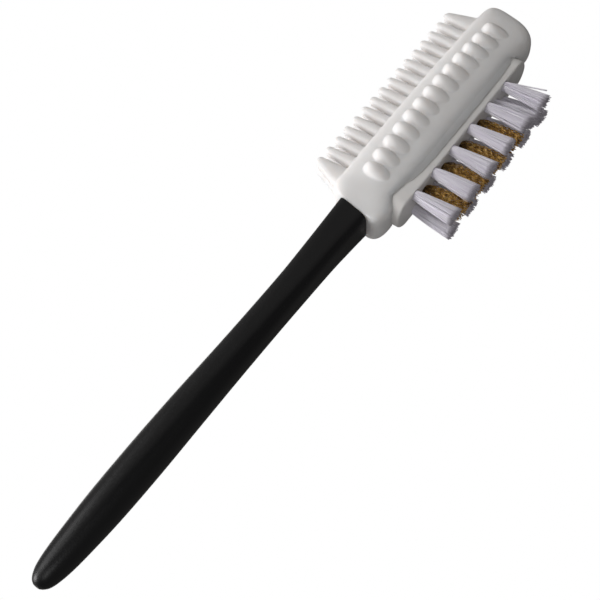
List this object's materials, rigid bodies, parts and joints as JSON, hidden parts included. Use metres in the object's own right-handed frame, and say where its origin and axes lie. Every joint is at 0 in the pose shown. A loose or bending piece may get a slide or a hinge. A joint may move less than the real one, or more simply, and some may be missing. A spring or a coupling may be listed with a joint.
{
  "type": "cleaning brush",
  "caption": "Long-handled hand brush with a rubber-covered head: tapered fingers on top, knobs on both sides, and nylon and brass bristle tufts underneath.",
  "frame": {"origin": "middle of the bristle field, on the flat end face of the middle tuft, which is the plane of the bristle tips", "axes": "+X along the handle axis from the handle towards the free end of the head, +Y across the head, +Z from the bristle tips up to the rubber fingers"},
  "size_m": [0.2614, 0.0236, 0.0521],
  "materials": {
    "handle_plastic": "satin black moulded polypropylene",
    "core_plastic": "off-white moulded polypropylene",
    "white_rubber": "soft milky white moulded rubber",
    "nylon_bristle": "fine translucent nylon filaments",
    "brass_wire": "crimped fine brass wire",
    "anchor_wire": "flat drawn anchor wire"
  },
  "bodies": {
    "root": {"handle": "handle_plastic", "bristle_block": "core_plastic", "rubber_sleeve": "white_rubber", "nylon_tuft_front_1": "nylon_bristle", "nylon_tuft_back_1": "nylon_bristle", "nylon_tuft_front_2": "nylon_bristle", "nylon_tuft_back_2": "nylon_bristle", "nylon_tuft_front_3": "nylon_bristle", "nylon_tuft_back_3": "nylon_bristle", "nylon_tuft_front_4": "nylon_bristle", "nylon_tuft_back_4": "nylon_bristle", "nylon_tuft_front_5": "nylon_bristle", "nylon_tuft_back_5": "nylon_bristle", "nylon_tuft_front_6": "nylon_bristle", "nylon_tuft_back_6": "nylon_bristle", "brass_tuft_1": "brass_wire", "brass_tuft_2": "brass_wire", "brass_tuft_3": "brass_wire", "brass_tuft_4": "brass_wire", "nylon_tuft_middle": "nylon_bristle", "anchor_nylon_tuft_front_1": "anchor_wire", "anchor_nylon_tuft_back_1": "anchor_wire", "anchor_nylon_tuft_front_2": "anchor_wire", "anchor_nylon_tuft_back_2": "anchor_wire", "anchor_nylon_tuft_front_3": "anchor_wire", "anchor_nylon_tuft_back_3": "anchor_wire", "anchor_nylon_tuft_front_4": "anchor_wire", "anchor_nylon_tuft_back_4": "anchor_wire", "anchor_nylon_tuft_front_5": "anchor_wire", "anchor_nylon_tuft_back_5": "anchor_wire", "anchor_nylon_tuft_front_6": "anchor_wire", "anchor_nylon_tuft_back_6": "anchor_wire", "anchor_brass_tuft_1": "anchor_wire", "anchor_brass_tuft_2": "anchor_wire", "anchor_brass_tuft_3": "anchor_wire", "anchor_brass_tuft_4": "anchor_wire", "anchor_nylon_tuft_middle": "anchor_wire"}
  },
  "joints": []
}
